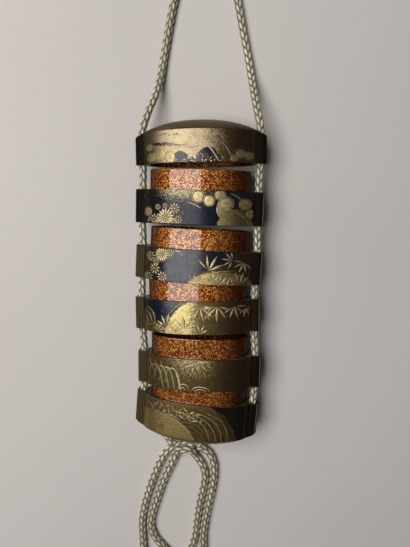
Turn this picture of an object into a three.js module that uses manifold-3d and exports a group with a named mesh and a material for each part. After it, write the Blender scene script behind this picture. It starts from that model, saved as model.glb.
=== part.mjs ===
// An inro: a small case of five stacking boxes and a lid, threaded on one silk cord.
// It lies on its back with its sections drawn apart along the cord.
// Millimetres, +Z up out of the decorated front, +Y from the bottom case to the lid.
// The origin is on the surface that it lies on, below the centre of the six sections.
import * as THREE from 'three';
import { mergeVertices } from 'three/addons/utils/BufferGeometryUtils.js';
import Module from 'manifold-3d';

// The cross-section of every section: a flattened oval with a cord runner at each side.
const BODY_HALF_WIDTH = 24.5;
const BODY_HALF_DEPTH = 12;
const OVAL_POWER = 2.2;
const OVAL_STEPS = 40;
const RUNNER_REACH = 28;
const RUNNER_HALF_DEPTH = 3.5;
const RUNNER_CORNER = 2.4;
const REST_DEPTH = 11.8;

// The heights of the sections, and the walls inside them.
const BAND_HEIGHT = 14.3;
const LID_SKIRT = 11.5;
const RISER_HEIGHT = 8.5;
const RISER_HALF_WIDTH = 21.8;
const RISER_HALF_DEPTH = 10.5;
const RISER_WALL = 1.3;
const RISER_CLEARANCE = 0.35;
const FLOOR_THICKNESS = 1.5;
const ROOF_THICKNESS = 1.8;

// The domed top of the lid, which the underside of the bottom case mirrors.
const DOME_CROWN = 6.9;
const DOME_DROP = 4.9;
const DOME_POWER = 2.56;
const DOME_REACH = 1.25;
const DOME_RINGS = 8;
const DOME_SEGMENTS = 40;

// The cord and its channels.
const CHANNEL_X = 25.2;
const CHANNEL_RADIUS = 2.2;
const DOMED_MOUTH = 3.2; // how far a channel runs on through the domed lid
// The bottom case's left channel stops going straight here, then curves back to open behind.
const CHANNEL_BEND_START = -8.6;
const CHANNEL_BEND_RADIUS = 2.6;
const CHANNEL_BEND = [
  [-CHANNEL_X, -4, 0],
  [-CHANNEL_X, CHANNEL_BEND_START, 0],
  [-25.1, -11.6, -1.1],
  [-24.7, -14.6, -3.4],
  [-22.1, -19.8, -6.2],
  [-19, -22.3, -7.9],
];
const CORD_RADIUS = 1.7;
const BOW_RADIUS = 1.8;
const CORD_SIDES = 8;
const KNOT_RADIUS = 3.9;
const KNOT_LENGTH = 8.4;
const KNOT_CENTRE = [-7.4, -80.5, 3.9];

// Where each section lies: the middle of its top rim, and its turn in the plane of the table.
const POSES = [
  { name: 'lid', x: 1.25, y: 64.8, turn: 0.2 },
  { name: 'case_1', x: 1.05, y: 42.3, turn: -1.8 },
  { name: 'case_2', x: 0.75, y: 17.6, turn: -3.2 },
  { name: 'case_3', x: -0.15, y: -4.3, turn: 0 },
  { name: 'case_4', x: 0.6, y: -29.6, turn: -0.9 },
  { name: 'case_5', x: -0.2, y: -50.2, turn: -4.9 },
];

const FAR = 60; // longer than any section, for cutting tools

const wasm = await Module();
wasm.setup();

function solidOf(geometry) {
  const bare = geometry.clone();
  bare.deleteAttribute('normal');
  bare.deleteAttribute('uv');
  const merged = mergeVertices(bare, 1e-5);
  const corners = merged.index.array;
  const triangles = [];
  for (let i = 0; i < corners.length; i += 3) {
    const [a, b, c] = [corners[i], corners[i + 1], corners[i + 2]];
    if (a !== b && b !== c && c !== a) triangles.push(a, b, c);
  }
  const mesh = new wasm.Mesh({
    numProp: 3,
    vertProperties: new Float32Array(merged.attributes.position.array),
    triVerts: new Uint32Array(triangles),
  });
  return new wasm.Manifold(mesh);
}

function geometryOf(solid) {
  const mesh = solid.getMesh();
  const geometry = new THREE.BufferGeometry();
  geometry.setAttribute('position', new THREE.BufferAttribute(mesh.vertProperties, 3));
  geometry.setIndex(new THREE.BufferAttribute(mesh.triVerts, 1));
  geometry.computeVertexNormals();
  return geometry;
}

// A flattened oval with its flatter sides to the front and back, seen along the stack.
function oval(halfWidth, halfDepth) {
  const points = [];
  for (let i = 0; i < OVAL_STEPS; i += 1) {
    const angle = (2 * Math.PI * (i + 0.5)) / OVAL_STEPS;
    const across = Math.sign(Math.cos(angle)) * Math.abs(Math.cos(angle)) ** (2 / OVAL_POWER);
    const through = Math.sign(Math.sin(angle)) * Math.abs(Math.sin(angle)) ** (2 / OVAL_POWER);
    points.push(new THREE.Vector2(halfWidth * across, halfDepth * through));
  }
  return new THREE.Shape(points);
}

// The bar at one side that carries the cord channel, with its outer corners rounded.
function runnerBar() {
  const corner = RUNNER_REACH - RUNNER_CORNER;
  const rise = RUNNER_HALF_DEPTH - RUNNER_CORNER;
  const shape = new THREE.Shape();
  shape.moveTo(BODY_HALF_WIDTH - 4, -RUNNER_HALF_DEPTH);
  shape.lineTo(corner, -RUNNER_HALF_DEPTH);
  shape.absarc(corner, -rise, RUNNER_CORNER, -Math.PI / 2, 0, false);
  shape.absarc(corner, rise, RUNNER_CORNER, 0, Math.PI / 2, false);
  shape.lineTo(BODY_HALF_WIDTH - 4, RUNNER_HALF_DEPTH);
  return shape;
}

// A straight wall of that outline, from one height of the stack to another.
function prism(shape, top, bottom) {
  const geometry = new THREE.ExtrudeGeometry(shape, {
    depth: top - bottom,
    bevelEnabled: false,
    curveSegments: 4,
  });
  geometry.rotateX(Math.PI / 2);
  geometry.translate(0, top, 0);
  return solidOf(geometry);
}

function mirrored(solid) {
  return solid.rotate([0, 180, 0]);
}

// Everything below a shallow dome whose crown is at the given height.
function underDome(crown) {
  const profile = [new THREE.Vector2(0, -FAR), new THREE.Vector2(DOME_REACH, -FAR)];
  for (let i = DOME_RINGS; i >= 0; i -= 1) {
    const radius = (DOME_REACH * i) / DOME_RINGS;
    profile.push(new THREE.Vector2(radius, crown - DOME_DROP * radius ** DOME_POWER));
  }
  const geometry = new THREE.LatheGeometry(profile, DOME_SEGMENTS);
  geometry.scale(BODY_HALF_WIDTH, 1, BODY_HALF_DEPTH);
  return solidOf(geometry);
}

// Everything above the same dome turned over, whose lowest point is at the given depth.
function aboveDome(lowest) {
  return underDome(-lowest).rotate([180, 0, 0]);
}

// The outside of one section, body and both runners, flattened where it lies on its back.
function band(top, bottom) {
  const runner = prism(runnerBar(), top, bottom);
  const rest = solidOf(new THREE.BoxGeometry(2 * FAR, 2 * FAR, REST_DEPTH + FAR));
  return prism(oval(BODY_HALF_WIDTH, BODY_HALF_DEPTH), top, bottom)
    .add(runner)
    .add(mirrored(runner))
    .intersect(rest.translate([0, 0, (FAR - REST_DEPTH) / 2]));
}

// The hollow at the foot of a section that slides over the riser of the next one.
function socket(bottom, depth) {
  const outline = oval(RISER_HALF_WIDTH + RISER_CLEARANCE, RISER_HALF_DEPTH + RISER_CLEARANCE);
  return prism(outline, bottom + depth, bottom - 1);
}

function riser() {
  return prism(oval(RISER_HALF_WIDTH, RISER_HALF_DEPTH), RISER_HEIGHT, -FLOOR_THICKNESS);
}

function cavity(floorHeight) {
  const outline = oval(RISER_HALF_WIDTH - RISER_WALL, RISER_HALF_DEPTH - RISER_WALL);
  return prism(outline, RISER_HEIGHT + 1, floorHeight);
}

function cordChannels(lowest = -FAR / 2) {
  const hole = solidOf(new THREE.CylinderGeometry(CHANNEL_RADIUS, CHANNEL_RADIUS, FAR, 12));
  const right = hole.translate([CHANNEL_X, lowest + FAR / 2, 0]);
  return right.add(mirrored(right));
}

// Both channels of the bottom case: straight, then curving back to open behind the dome.
function bentChannels() {
  const left = solidOf(tube(CHANNEL_BEND, CHANNEL_BEND_RADIUS, 8));
  return cordChannels(CHANNEL_BEND_START).add(left).add(left.mirror([1, 0, 0]));
}

const SOCKET_DEPTH = RISER_HEIGHT + RISER_CLEARANCE;

function lidSolid() {
  const outside = band(DOME_CROWN + 1, -LID_SKIRT).intersect(underDome(DOME_CROWN));
  const inside = socket(-LID_SKIRT, LID_SKIRT + DOME_CROWN);
  return outside
    .subtract(inside.intersect(underDome(DOME_CROWN - ROOF_THICKNESS)))
    .subtract(cordChannels());
}

function caseSolid() {
  return band(0, -BAND_HEIGHT)
    .add(riser())
    .subtract(socket(-BAND_HEIGHT, SOCKET_DEPTH))
    .subtract(cavity(SOCKET_DEPTH - BAND_HEIGHT + FLOOR_THICKNESS))
    .subtract(cordChannels());
}

function bottomCaseSolid() {
  const lowest = -BAND_HEIGHT - DOME_CROWN;
  const hollow = cavity(lowest).intersect(aboveDome(lowest + ROOF_THICKNESS));
  return band(0, lowest - 1)
    .intersect(aboveDome(lowest))
    .add(riser())
    .subtract(hollow)
    .subtract(bentChannels());
}

// A plain tube along a smooth line through the points.
function tube(points, radius, steps) {
  const section = new THREE.Shape();
  for (let i = 0; i < CORD_SIDES; i += 1) {
    const angle = (2 * Math.PI * (i + 0.5)) / CORD_SIDES;
    const corner = [radius * Math.cos(angle), radius * Math.sin(angle)];
    if (i === 0) section.moveTo(...corner);
    else section.lineTo(...corner);
  }
  const route = new THREE.CatmullRomCurve3(points.map((p) => new THREE.Vector3(...p)));
  return new THREE.ExtrudeGeometry(section, { steps, extrudePath: route, bevelEnabled: false });
}

// The mouths of one channel in every section, from the bottom case's rim up to the lid.
function channelMouths(side) {
  const mouths = [];
  for (const pose of [...POSES].reverse()) {
    const turn = THREE.MathUtils.degToRad(pose.turn);
    const rim = pose.name === 'lid' ? DOMED_MOUTH : 0;
    const foot = pose.name === 'lid' ? -LID_SKIRT : -BAND_HEIGHT;
    for (const along of pose.name === 'case_5' ? [rim] : [foot, rim]) {
      const across = side * CHANNEL_X;
      mouths.push([
        pose.x + across * Math.cos(turn) - along * Math.sin(turn),
        pose.y + across * Math.sin(turn) + along * Math.cos(turn),
        REST_DEPTH,
      ]);
    }
  }
  return mouths;
}

// The cord runs from the knot up the left channels, round a loop past the lid, and back down.
const KNOT_TO_LEFT_CHANNEL = [
  [-13, -78.8, 5.3],
  [-14.9, -77, 4.4],
  [-17.8, -73.9, 3.5],
  [-21, -70.8, 3.9],
  [-23.9, -68, 5.6],
  [-26.1, -62.6, 8.4],
  [-26.2, -59.6, 10.7],
  [-26, -56.6, 11.8],
];
const TOP_LOOP = [
  [-23.1, 71, 11.5],
  [-21.4, 76.7, 9.6],
  [-19.1, 83.7, 6.2],
  [-17.7, 90.7, 3.2],
  [-16.4, 98.2, 1.9],
  [-13.9, 111.8, 1.8],
  [-11.3, 123.8, 1.8],
  [-9, 132, 1.8],
  [-4.4, 139.6, 1.8],
  [2.5, 142.6, 1.8],
  [9.3, 139.8, 1.8],
  [13.9, 132.4, 1.8],
  [16.2, 122.7, 1.8],
  [18.6, 110.7, 1.8],
  [21.2, 98.4, 1.9],
  [22.4, 91.2, 3.2],
  [23.5, 84.4, 6.2],
  [24.7, 77.4, 9.6],
  [25.9, 71.6, 11.4],
];
const RIGHT_CHANNEL_TO_KNOT = [
  [24.2, -60.9, 11.8],
  [23.8, -63.9, 10.7],
  [23.1, -66.9, 8.4],
  [20.4, -71.2, 5.3],
  [16.9, -73.7, 3.9],
  [12.6, -74.6, 3.2],
  [8, -75.2, 3],
  [3.6, -76.1, 3.3],
  [0.6, -77.3, 4.4],
  [-1.9, -78.6, 5.5],
];
const BOW_LOOP_LEFT = [
  [-12.7, -80.9, 1.95],
  [-14.9, -82.3, 1.95],
  [-17.7, -85.4, 1.95],
  [-20.7, -90.9, 1.95],
  [-23.6, -98, 1.95],
  [-26.2, -105.6, 1.95],
  [-28.4, -113.1, 1.95],
  [-29.9, -121, 1.95],
  [-29.9, -129.3, 1.95],
  [-29.5, -137.8, 1.95],
  [-28.2, -146, 1.95],
  [-23.8, -151.8, 1.95],
  [-17.4, -151.9, 1.95],
  [-13.7, -147, 1.95],
  [-15.2, -141, 1.95],
  [-19.4, -136, 1.95],
  [-23.4, -131, 1.95],
  [-25.5, -124.6, 1.95],
  [-24.4, -117.4, 1.95],
  [-22.2, -110, 1.95],
  [-19.8, -102.6, 1.95],
  [-17, -95.6, 1.95],
  [-14.3, -89.8, 1.95],
  [-12.1, -85.3, 1.95],
];
const BOW_LOOP_RIGHT = [
  [-2.4, -80.9, 1.95],
  [0.9, -81.5, 1.95],
  [4.4, -84.2, 1.95],
  [6.4, -89, 1.95],
  [6.6, -95.2, 1.95],
  [5.6, -102.6, 1.95],
  [4, -110.4, 1.95],
  [2.4, -119, 1.95],
  [1.4, -127.6, 1.95],
  [1.6, -136.3, 1.95],
  [3.2, -143.6, 1.95],
  [2.4, -149.8, 1.95],
  [-2.6, -152.8, 1.95],
  [-7.4, -150, 1.95],
  [-8.3, -144, 1.95],
  [-5.2, -137, 1.95],
  [-2.8, -129, 1.95],
  [-1.7, -120, 1.95],
  [-0.5, -111.2, 1.95],
  [1.2, -103.2, 1.95],
  [2.2, -96.2, 1.95],
  [0.8, -90.4, 1.95],
  [-2.7, -85.2, 1.95],
];

function knotGeometry() {
  const half = KNOT_LENGTH / 2;
  const profile = [new THREE.Vector2(0, -half)];
  for (let i = 0; i <= 8; i += 1) {
    const angle = -Math.PI / 2 + (Math.PI * i) / 8;
    const radius = KNOT_RADIUS * (0.85 + 0.15 * Math.cos(angle));
    profile.push(new THREE.Vector2(radius, half * Math.sin(angle)));
  }
  profile.push(new THREE.Vector2(0, half));
  const geometry = new THREE.LatheGeometry(profile, 16);
  geometry.rotateZ(Math.PI / 2);
  return geometryOf(solidOf(geometry));
}

const lacquer = () => new THREE.MeshStandardMaterial({ color: 0x2b2013, roughness: 0.3, metalness: 0.2 });
const silk = () => new THREE.MeshStandardMaterial({ color: 0x9a9479, roughness: 0.6, metalness: 0 });

function named(name, geometry, material) {
  const mesh = new THREE.Mesh(geometry, material);
  mesh.name = name;
  return mesh;
}

const model = new THREE.Group();

for (const pose of POSES) {
  let solid = caseSolid();
  if (pose.name === 'lid') solid = lidSolid();
  if (pose.name === 'case_5') solid = bottomCaseSolid();
  const section = named(pose.name, geometryOf(solid), lacquer());
  section.position.set(pose.x, pose.y, REST_DEPTH);
  section.rotation.z = THREE.MathUtils.degToRad(pose.turn);
  model.add(section);
}

const cordRoute = [
  ...KNOT_TO_LEFT_CHANNEL,
  ...channelMouths(-1),
  ...TOP_LOOP,
  ...channelMouths(1).reverse(),
  ...RIGHT_CHANNEL_TO_KNOT,
];
model.add(named('cord', tube(cordRoute, CORD_RADIUS, 80), silk()));
model.add(named('bow_loop_left', tube(BOW_LOOP_LEFT, BOW_RADIUS, 26), silk()));
model.add(named('bow_loop_right', tube(BOW_LOOP_RIGHT, BOW_RADIUS, 26), silk()));

const knot = named('bow_knot', knotGeometry(), silk());
knot.position.set(...KNOT_CENTRE);
model.add(knot);

export default model;
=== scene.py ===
import bmesh
import bpy
import math
import numpy as np
from mathutils import Matrix


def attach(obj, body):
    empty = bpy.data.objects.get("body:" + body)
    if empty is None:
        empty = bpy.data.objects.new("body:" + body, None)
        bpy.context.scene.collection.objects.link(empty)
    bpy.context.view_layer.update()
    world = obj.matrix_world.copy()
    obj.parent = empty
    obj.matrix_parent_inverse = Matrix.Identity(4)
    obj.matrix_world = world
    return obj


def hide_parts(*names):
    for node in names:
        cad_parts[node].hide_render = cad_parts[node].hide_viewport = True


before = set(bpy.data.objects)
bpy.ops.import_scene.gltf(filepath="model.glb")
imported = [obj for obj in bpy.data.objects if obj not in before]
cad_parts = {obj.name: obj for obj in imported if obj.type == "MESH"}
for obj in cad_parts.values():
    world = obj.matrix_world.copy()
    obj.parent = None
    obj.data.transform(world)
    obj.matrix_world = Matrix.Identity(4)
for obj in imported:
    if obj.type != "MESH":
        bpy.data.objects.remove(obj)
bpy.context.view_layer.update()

# ---------------------------------------------------------------------------------------------
# The view. The case lies on its back on a table, and somebody looks down on it from just above,
# a little to its right.

VIEW_PLACE = (0.0210, 0.03387, 0.2108)
VIEW_LEAN, VIEW_TURN = -7.86, 5.15
VIEW_LENS = 29.96
bpy.ops.object.select_all(action="DESELECT")
bpy.ops.object.camera_add(location=VIEW_PLACE,
                          rotation=(math.radians(VIEW_LEAN), math.radians(VIEW_TURN), 0))
camera = bpy.context.object
camera.name = "table_view"
camera.data.lens = VIEW_LENS
camera.data.clip_start = 0.01
camera.data.clip_end = 10
bpy.context.scene.camera = camera
bpy.context.scene.view_settings.view_transform = "Standard"

# ---------------------------------------------------------------------------------------------
# The light and the table. One tall window stands to the upper left, the rest of the room is
# dim, and the table is covered with plain pale paper.

WINDOW_WIDTH, WINDOW_LENGTH = 0.56, 0.70
WINDOW_PLACE = (-0.325, 0.18, 0.70)
WINDOW_POWER = 6.2
WINDOW_COLOUR = (1.0, 0.97, 0.96)
ROOM_COLOUR = (0.90, 0.94, 1.0, 1)
ROOM_STRENGTH = 0.06
PAPER_DARK, PAPER_PALE = (0.61, 0.575, 0.545, 1), (0.74, 0.71, 0.68, 1)
TABLE_SIZE = 3.0

bpy.ops.object.select_all(action="DESELECT")
bpy.ops.object.light_add(type="AREA", location=WINDOW_PLACE)
window = bpy.context.object
window.name = "window"
window.data.shape = "RECTANGLE"
window.data.size = WINDOW_WIDTH
window.data.size_y = WINDOW_LENGTH
window.data.energy = WINDOW_POWER
window.data.color = WINDOW_COLOUR

room = bpy.data.worlds.new("room")
bpy.context.scene.world = room
room.use_nodes = True
room.node_tree.nodes["Background"].inputs["Color"].default_value = ROOM_COLOUR
room.node_tree.nodes["Background"].inputs["Strength"].default_value = ROOM_STRENGTH


class Tone:
    """One value of a finish while it is mixed: a number, a colour or a place."""

    def __init__(self, tree, socket):
        self.tree = tree
        self.socket = socket

    def node(self, kind, settings, inputs, out=0):
        """Adds a node, sets it, fills its sockets with values or other tones, and gives its result."""
        made = self.tree.nodes.new(kind)
        for name, value in settings.items():
            setattr(made, name, value)
        for name, value in inputs.items():
            if isinstance(value, Tone):
                self.tree.links.new(value.socket, made.inputs[name])
            else:
                made.inputs[name].default_value = value
        return Tone(self.tree, made.outputs[out])

    def maths(self, operation, *values):
        """One number worked out from these numbers or tones."""
        return self.node("ShaderNodeMath", {"operation": operation}, dict(enumerate(values)))

    def __add__(self, other):
        return self.maths("ADD", self, other)

    def __sub__(self, other):
        return self.maths("SUBTRACT", self, other)

    def __rsub__(self, other):
        return self.maths("SUBTRACT", other, self)

    def __mul__(self, other):
        return self.maths("MULTIPLY", self, other)

    def __truediv__(self, other):
        return self.maths("DIVIDE", self, other)

    def __rtruediv__(self, other):
        return self.maths("DIVIDE", other, self)

    def __pow__(self, other):
        return self.maths("POWER", self, other)

    def __neg__(self):
        return self.maths("MULTIPLY", self, -1.0)

    def __abs__(self):
        return self.maths("ABSOLUTE", self)

    __radd__ = __add__
    __rmul__ = __mul__

    def most(self, other):
        return self.maths("MAXIMUM", self, other)

    def wave(self):
        """A sine wave, moved up so that it runs from 0 to 1."""
        return self.maths("SINE", self) * 0.5 + 0.5

    def rise(self, low, high):
        """0 below low and 1 above high, with a soft step between them."""
        return self.node("ShaderNodeMapRange", {"interpolation_type": "SMOOTHSTEP"},
                         {"Value": self, "From Min": low, "From Max": high})

    def blend(self, none, full):
        """The colour none where this is 0, and the colour full where it is 1."""
        factor, first_colour, second_colour, mixed_colour = 0, 6, 7, 2
        return self.node("ShaderNodeMix", {"data_type": "RGBA"},
                         {factor: self, first_colour: none, second_colour: full}, mixed_colour)

    def xyz(self):
        """The three parts of a place or a colour."""
        parted = self.node("ShaderNodeSeparateXYZ", {}, {0: self})
        return [Tone(self.tree, socket) for socket in parted.socket.node.outputs]

    def stretched(self, x, y, z):
        return self.node("ShaderNodeVectorMath", {"operation": "MULTIPLY"}, {0: self, 1: (x, y, z)})

    def cloud(self, scale, detail=2.0, rough=0.5):
        """Soft uneven noise, from 0 to 1, scale lumps to a unit of this place."""
        return self.node("ShaderNodeTexNoise", {},
                         {"Vector": self, "Scale": scale, "Detail": detail, "Roughness": rough})

    def grains(self, scale):
        """Three numbers that each grain of a powder has of its own, scale grains to a unit."""
        return self.node("ShaderNodeTexVoronoi", {}, {"Vector": self, "Scale": scale}, "Color").xyz()

    def from_grain(self, scale):
        """How far the middle of the nearest grain is, as a share of a grain's own width."""
        return self.node("ShaderNodeTexVoronoi", {}, {"Vector": self, "Scale": scale}, "Distance")

    def bump(self, height, strength=1.0):
        """The normal of a surface that stands height metres proud where this tone is 1."""
        return self.node("ShaderNodeBump", {},
                         {"Height": self, "Distance": height, "Strength": strength})


def finish(name, fixed):
    """A new finish with the values that are the same all over, and its place to build from."""
    made = bpy.data.materials.new(name)
    made.use_nodes = True
    shader = made.node_tree.nodes["Principled BSDF"]
    for socket, value in fixed.items():
        shader.inputs[socket].default_value = value
    place = made.node_tree.nodes.new("ShaderNodeTexCoord")
    return made, shader, Tone(made.node_tree, place.outputs["Object"])


def own(place, name, out):
    """A value that the piece carries itself, by name: out is Color, Vector or Fac for a number."""
    return place.node("ShaderNodeAttribute", {"attribute_name": name}, {}, out)


def give(shader, **tones):
    """Connects the finished tones to the shader."""
    for socket, tone in tones.items():
        tone.tree.links.new(tone.socket, shader.inputs[socket.replace("_", " ")])


paper, shader, place = finish("pale_paper", {"Specular IOR Level": 0.2})
fibres = place.cloud(900.0, 3.0)
drift = place.cloud(7.0, 2.0)
give(shader,
     Base_Color=(fibres * 0.35 + drift * 0.65).blend(PAPER_DARK, PAPER_PALE),
     Roughness=fibres * 0.15 + 0.8,
     Normal=fibres.bump(0.00008))

bpy.ops.object.select_all(action="DESELECT")
bpy.ops.mesh.primitive_grid_add(x_subdivisions=4, y_subdivisions=4, size=TABLE_SIZE)
table = bpy.context.object
table.name = "table_top"
table.data.materials.append(paper)

# ---------------------------------------------------------------------------------------------
# The silk cord. One round braid of ivory silk, about 3.4 mm thick where the case stretches it,
# runs from the bow up through the left channels, over the lid in a long loose loop, down through
# the right channels and back to the bow. The two loops of the bow are slacker and stand 3.8 mm.

CORD_THICKNESS = 0.0034
BOW_THICKNESS = 0.0038
BRAID_COLUMNS = 6
BRAID_PITCH = 0.0036
SIDES_PER_COLUMN = 5
RING_STEP = 0.00034
LINE_STEPS = 80
STRAND_HALF_WIDTH, STRAND_HALF_LENGTH = 0.54, 0.52  # in columns and in pitches
STRAND_LEAN = 0.42
END_ROUNDING = 0.4
CORE, STRAND_RISE, SLACK_RISE = 0.79, 0.20, 0.06  # shares of the braid's half thickness
TURN_SHIFT, COLUMN_SHIFT = 12.9, 7.8  # make each strand differ a little from the next

# The strands' own ivory, with a painted shade for the hollows between strands and a painted highlight for
# their crests.
SILK_PAINTED_SHADE, SILK_STRAND, SILK_PAINTED_HIGHLIGHT = (0.085, 0.067, 0.030, 1), (0.68, 0.61, 0.40, 1), (1.0, 0.97, 0.84, 1)
SOILED_PAINTED_SHADE, SOILED_STRAND = (0.070, 0.055, 0.022, 1), (0.60, 0.54, 0.34, 1)

# Each section of the case as it lies: x and y of the middle of its rim, and its turn in degrees.
LID_LIES = (0.00125, 0.0648, 0.2)
CASES_LIE = [(0.00105, 0.0423, -1.8), (0.00075, 0.0176, -3.2), (-0.00015, -0.0043, 0.0),
             (0.0006, -0.0296, -0.9)]
BOTTOM_LIES = (-0.0002, -0.0502, -4.9)
LIE_HEIGHT = 0.0118
CASE_LOW = 0.0143
LID_SKIRT = 0.0115
CHANNEL_X = 0.0252
LID_MOUTH = 0.0032

BOW_TO_LEFT_CHANNEL = [
    (-0.013, -0.0788, 0.0053), (-0.0149, -0.077, 0.0044), (-0.0178, -0.0739, 0.0035),
    (-0.021, -0.0708, 0.0039), (-0.0239, -0.068, 0.0056), (-0.0261, -0.0626, 0.0084),
    (-0.0262, -0.0596, 0.0107), (-0.026, -0.0566, 0.0118)]
TOP_LOOP = [
    (-0.0231, 0.071, 0.0115), (-0.0214, 0.0767, 0.0096), (-0.0191, 0.0837, 0.0062),
    (-0.0177, 0.0907, 0.0032), (-0.0164, 0.0982, 0.0019), (-0.0139, 0.1118, 0.0018),
    (-0.0113, 0.1238, 0.0018), (-0.009, 0.132, 0.0018), (-0.0044, 0.1396, 0.0018),
    (0.0025, 0.1426, 0.0018), (0.0093, 0.1398, 0.0018), (0.0139, 0.1324, 0.0018),
    (0.0162, 0.1227, 0.0018), (0.0186, 0.1107, 0.0018), (0.0212, 0.0984, 0.0019),
    (0.0224, 0.0912, 0.0032), (0.0235, 0.0844, 0.0062), (0.0247, 0.0774, 0.0096),
    (0.0259, 0.0716, 0.0114)]
RIGHT_CHANNEL_TO_BOW = [
    (0.0242, -0.0609, 0.0118), (0.0238, -0.0639, 0.0107), (0.0231, -0.0669, 0.0084),
    (0.0204, -0.0712, 0.0053), (0.0169, -0.0737, 0.0039), (0.0126, -0.0746, 0.0032),
    (0.008, -0.0752, 0.003), (0.0036, -0.0761, 0.0033), (0.0006, -0.0773, 0.0044),
    (-0.0019, -0.0786, 0.0055)]
BOW_LEFT = [
    (-0.0127, -0.0809), (-0.0149, -0.0823), (-0.0177, -0.0854), (-0.0207, -0.0909),
    (-0.0236, -0.098), (-0.0262, -0.1056), (-0.0284, -0.1131), (-0.0299, -0.121),
    (-0.0299, -0.1293), (-0.0295, -0.1378), (-0.0282, -0.146), (-0.0238, -0.1518),
    (-0.0174, -0.1519), (-0.0137, -0.147), (-0.0152, -0.141), (-0.0194, -0.136),
    (-0.0234, -0.131), (-0.0255, -0.1246), (-0.0244, -0.1174), (-0.0222, -0.11),
    (-0.0198, -0.1026), (-0.017, -0.0956), (-0.0143, -0.0898), (-0.0121, -0.0853)]
BOW_RIGHT = [
    (-0.0024, -0.0809), (0.0009, -0.0815), (0.0044, -0.0842), (0.0064, -0.089),
    (0.0066, -0.0952), (0.0056, -0.1026), (0.004, -0.1104), (0.0024, -0.119),
    (0.0014, -0.1276), (0.0016, -0.1363), (0.0032, -0.1436), (0.0024, -0.1498),
    (-0.0026, -0.1528), (-0.0074, -0.15), (-0.0083, -0.144), (-0.0052, -0.137),
    (-0.0028, -0.129), (-0.0017, -0.12), (-0.0005, -0.1112), (0.0012, -0.1032),
    (0.0022, -0.0962), (0.0008, -0.0904), (-0.0027, -0.0852)]
BOW_HEIGHT = 0.00195
KNOT_TURNS = [
    [(-0.0126, -0.0862, 0.0022), (-0.0116, -0.0828, 0.0040), (-0.0096, -0.0806, 0.0056),
     (-0.0074, -0.0800, 0.0061), (-0.0052, -0.0806, 0.0056), (-0.0034, -0.0828, 0.0040),
     (-0.0024, -0.0860, 0.0022)],
    [(-0.0132, -0.0810, 0.00206), (-0.0074, -0.0794, 0.0021), (-0.0019, -0.0810, 0.00206)],
    [(-0.0128, -0.0784, 0.0056), (-0.0074, -0.0770, 0.0046), (-0.0021, -0.0784, 0.0056)]]

silk, shader, place = finish("silk_braid", {"Sheen Weight": 0.2, "Sheen Roughness": 0.4,
                                            "Specular IOR Level": 0.7})
lift = own(place, "lift", "Fac")
thread = own(place, "thread", "Vector")
fibres = thread.stretched(1.0, 0.12, 1.0).cloud(90.0, 2.0)
_, turn, column = thread.xyz()
uneven = (turn.maths("FLOOR", turn) * TURN_SHIFT + column * COLUMN_SHIFT).wave()
# Painted shade darkens the hollows between the strands, and a painted highlight lightens the crest of each
# strand; the soiled spots are dirt.
strand = (lift * 0.85 + fibres * 0.45 - 0.32).rise(0.0, 0.95)
painted_highlight_crest = (lift + fibres * 0.9 - 0.45).rise(0.62, 1.0) * (uneven * 0.55 + 0.45)
soiled = place.cloud(160.0, 3.0).rise(0.35, 0.7) * 0.45
clean_silk = painted_highlight_crest.blend(strand.blend(SILK_PAINTED_SHADE, SILK_STRAND), SILK_PAINTED_HIGHLIGHT)
give(shader,
     Base_Color=soiled.blend(clean_silk, strand.blend(SOILED_PAINTED_SHADE, SOILED_STRAND)),
     Roughness=0.55 - painted_highlight_crest * 0.25,
     Normal=fibres.bump(0.00006))


def only(piece):
    """Selects that piece and nothing else, and makes it the one that is worked on."""
    bpy.ops.object.select_all(action="DESELECT")
    piece.select_set(True)
    bpy.context.view_layer.objects.active = piece


def face_outwards(piece, merge=0.0):
    """Merges the corners of the piece that meet, where asked, and turns all its faces outwards."""
    only(piece)
    bpy.ops.object.mode_set(mode="EDIT")
    bpy.ops.mesh.select_all(action="SELECT")
    if merge:
        bpy.ops.mesh.remove_doubles(threshold=merge)
    bpy.ops.mesh.normals_make_consistent(inside=False)
    bpy.ops.object.mode_set(mode="OBJECT")


def smooth_line(points):
    """A smooth line through these points, in many small steps from each to the next."""
    p = np.array(points, float)
    p = np.vstack([2 * p[0] - p[1], p, 2 * p[-1] - p[-2]])
    line = []
    for a, b, c, d in zip(p[:-3], p[1:-2], p[2:-1], p[3:]):
        ab, bc, cd = (max(np.linalg.norm(v) ** 0.5, 1e-6) for v in (b - a, c - b, d - c))
        leave = ((b - a) / ab - (c - a) / (ab + bc) + (c - b) / bc) * bc
        arrive = ((c - b) / bc - (d - b) / (bc + cd) + (d - c) / cd) * bc
        t = np.linspace(0, 1, LINE_STEPS, endpoint=False)[:, None]
        line.append((2 * t**3 - 3 * t**2 + 1) * b + (t**3 - 2 * t**2 + t) * leave
                    + (3 * t**2 - 2 * t**3) * c + (t**3 - t**2) * arrive)
    return np.vstack(line + [p[-2:-1]])


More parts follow.
